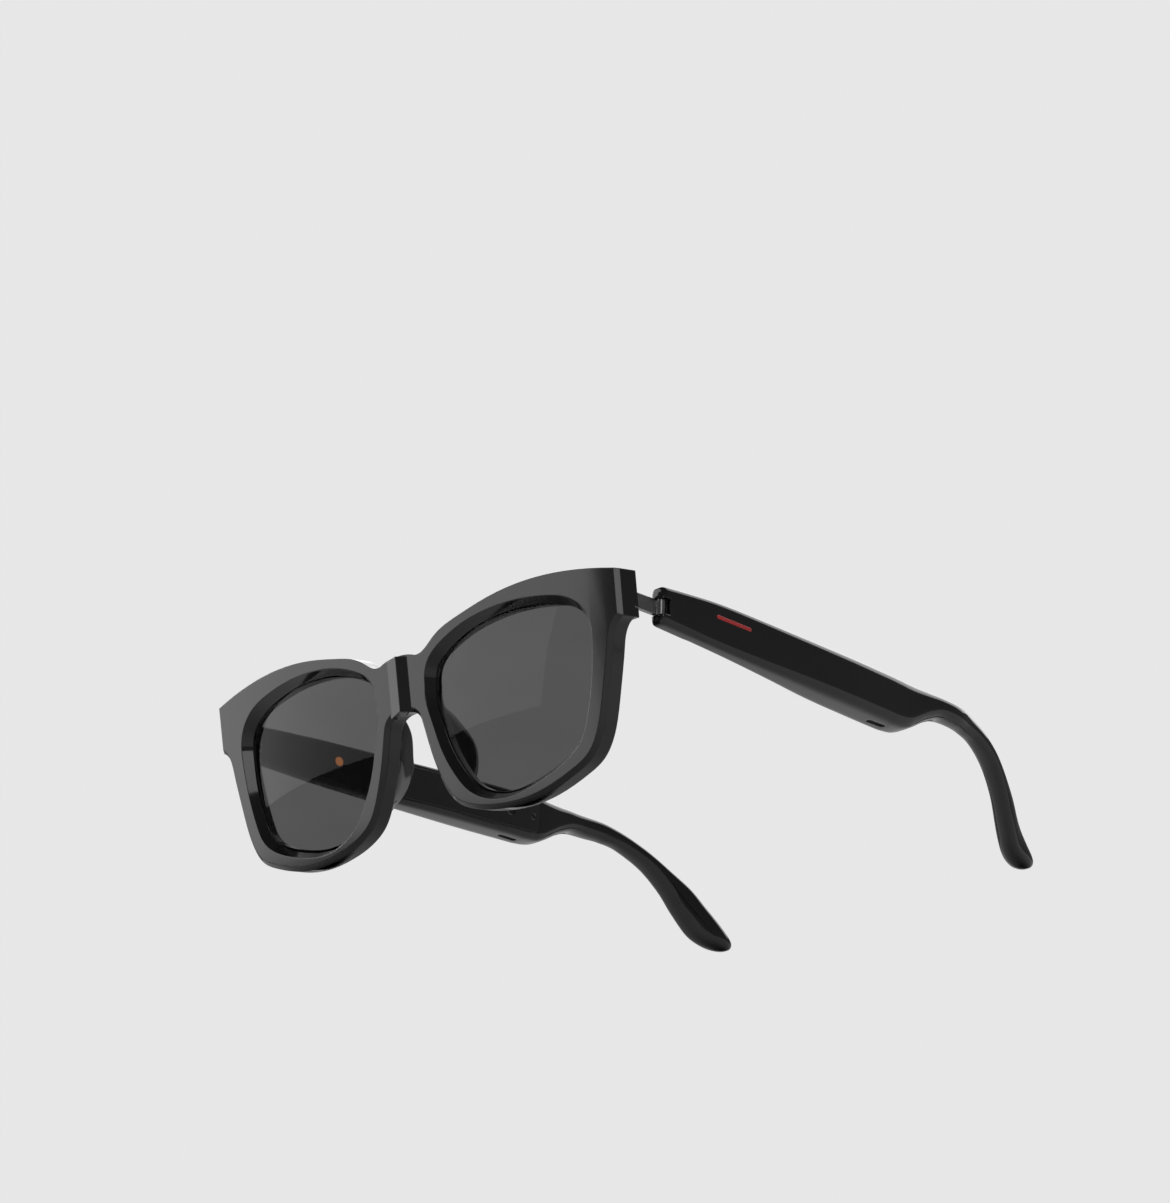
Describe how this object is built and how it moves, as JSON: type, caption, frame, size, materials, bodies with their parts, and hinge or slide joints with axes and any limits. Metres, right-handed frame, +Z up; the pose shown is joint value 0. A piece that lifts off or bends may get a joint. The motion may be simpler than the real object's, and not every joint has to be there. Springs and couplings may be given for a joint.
{
  "type": "smart glasses",
  "caption": "Thick-rimmed smart glasses with smoked lenses, exposed steel hinge leaves and folding temples that hold the electronics.",
  "frame": {"origin": "middle of the bounding box's underside: the surface that the rims and ear tips stand on", "axes": "+Z up, +X to the wearer's left, +Y from the front back along the temples"},
  "size_m": [0.1538, 0.172, 0.0542],
  "materials": {
    "gloss_black": "polished moulded frame plastic",
    "cover_black": "satin moulded plastic",
    "smoked_lens": "smoke tinted, polished",
    "hinge_steel": "brushed steel",
    "screw_steel": "machined steel",
    "core_wire": "annealed wire",
    "grille_black": "fine acoustic mesh",
    "contact_gold": "gold plated",
    "battery_foil": "pouch foil",
    "board_green": "solder mask",
    "chip_black": "moulded packages",
    "sensor_film": "polyimide film",
    "microphone_can": "metal can",
    "speaker_can": "moulded speaker box",
    "flex_film": "polyimide film",
    "accent_red": "red inlay, polished",
    "light_amber": "amber light window"
  },
  "bodies": {
    "front": {"front_frame": "gloss_black", "left_hinge_leaf": "hinge_steel", "left_hinge_screws": "screw_steel", "left_lens": "smoked_lens", "left_nose_pad": "gloss_black", "right_hinge_leaf": "hinge_steel", "right_hinge_screws": "screw_steel", "right_lens": "smoked_lens", "right_nose_pad": "gloss_black"},
    "left_temple": {"left_accent_inlay": "accent_red", "left_battery": "battery_foil", "left_board_components": "chip_black", "left_charging_contacts": "contact_gold", "left_circuit_board": "board_green", "left_cover_screws": "screw_steel", "left_ear_core": "core_wire", "left_flex_cable": "flex_film", "left_hinge_pin": "hinge_steel", "left_microphone": "microphone_can", "left_speaker_driver": "speaker_can", "left_speaker_grille": "grille_black", "left_temple_cover": "cover_black", "left_temple_shell": "gloss_black", "left_touch_sensor": "sensor_film"},
    "right_temple": {"right_battery": "battery_foil", "right_board_components": "chip_black", "right_charging_contacts": "contact_gold", "right_circuit_board": "board_green", "right_cover_screws": "screw_steel", "right_ear_core": "core_wire", "right_flex_cable": "flex_film", "right_hinge_pin": "hinge_steel", "right_microphone": "microphone_can", "right_speaker_driver": "speaker_can", "right_speaker_grille": "grille_black", "right_status_light": "light_amber", "right_temple_cover": "cover_black", "right_temple_shell": "gloss_black", "right_touch_sensor": "sensor_film"}
  },
  "joints": [
    {"name": "left_temple_fold", "type": "hinge", "parent": "front", "child": "left_temple", "pos_m": [0.0748, -0.06687, 0.04236], "axis": [0, 0.1149, 0.9934], "range_deg": [0, 84]},
    {"name": "right_temple_fold", "type": "hinge", "parent": "front", "child": "right_temple", "pos_m": [-0.0748, -0.06687, 0.04236], "axis": [0, -0.1149, -0.9934], "range_deg": [0, 50]}
  ]
}
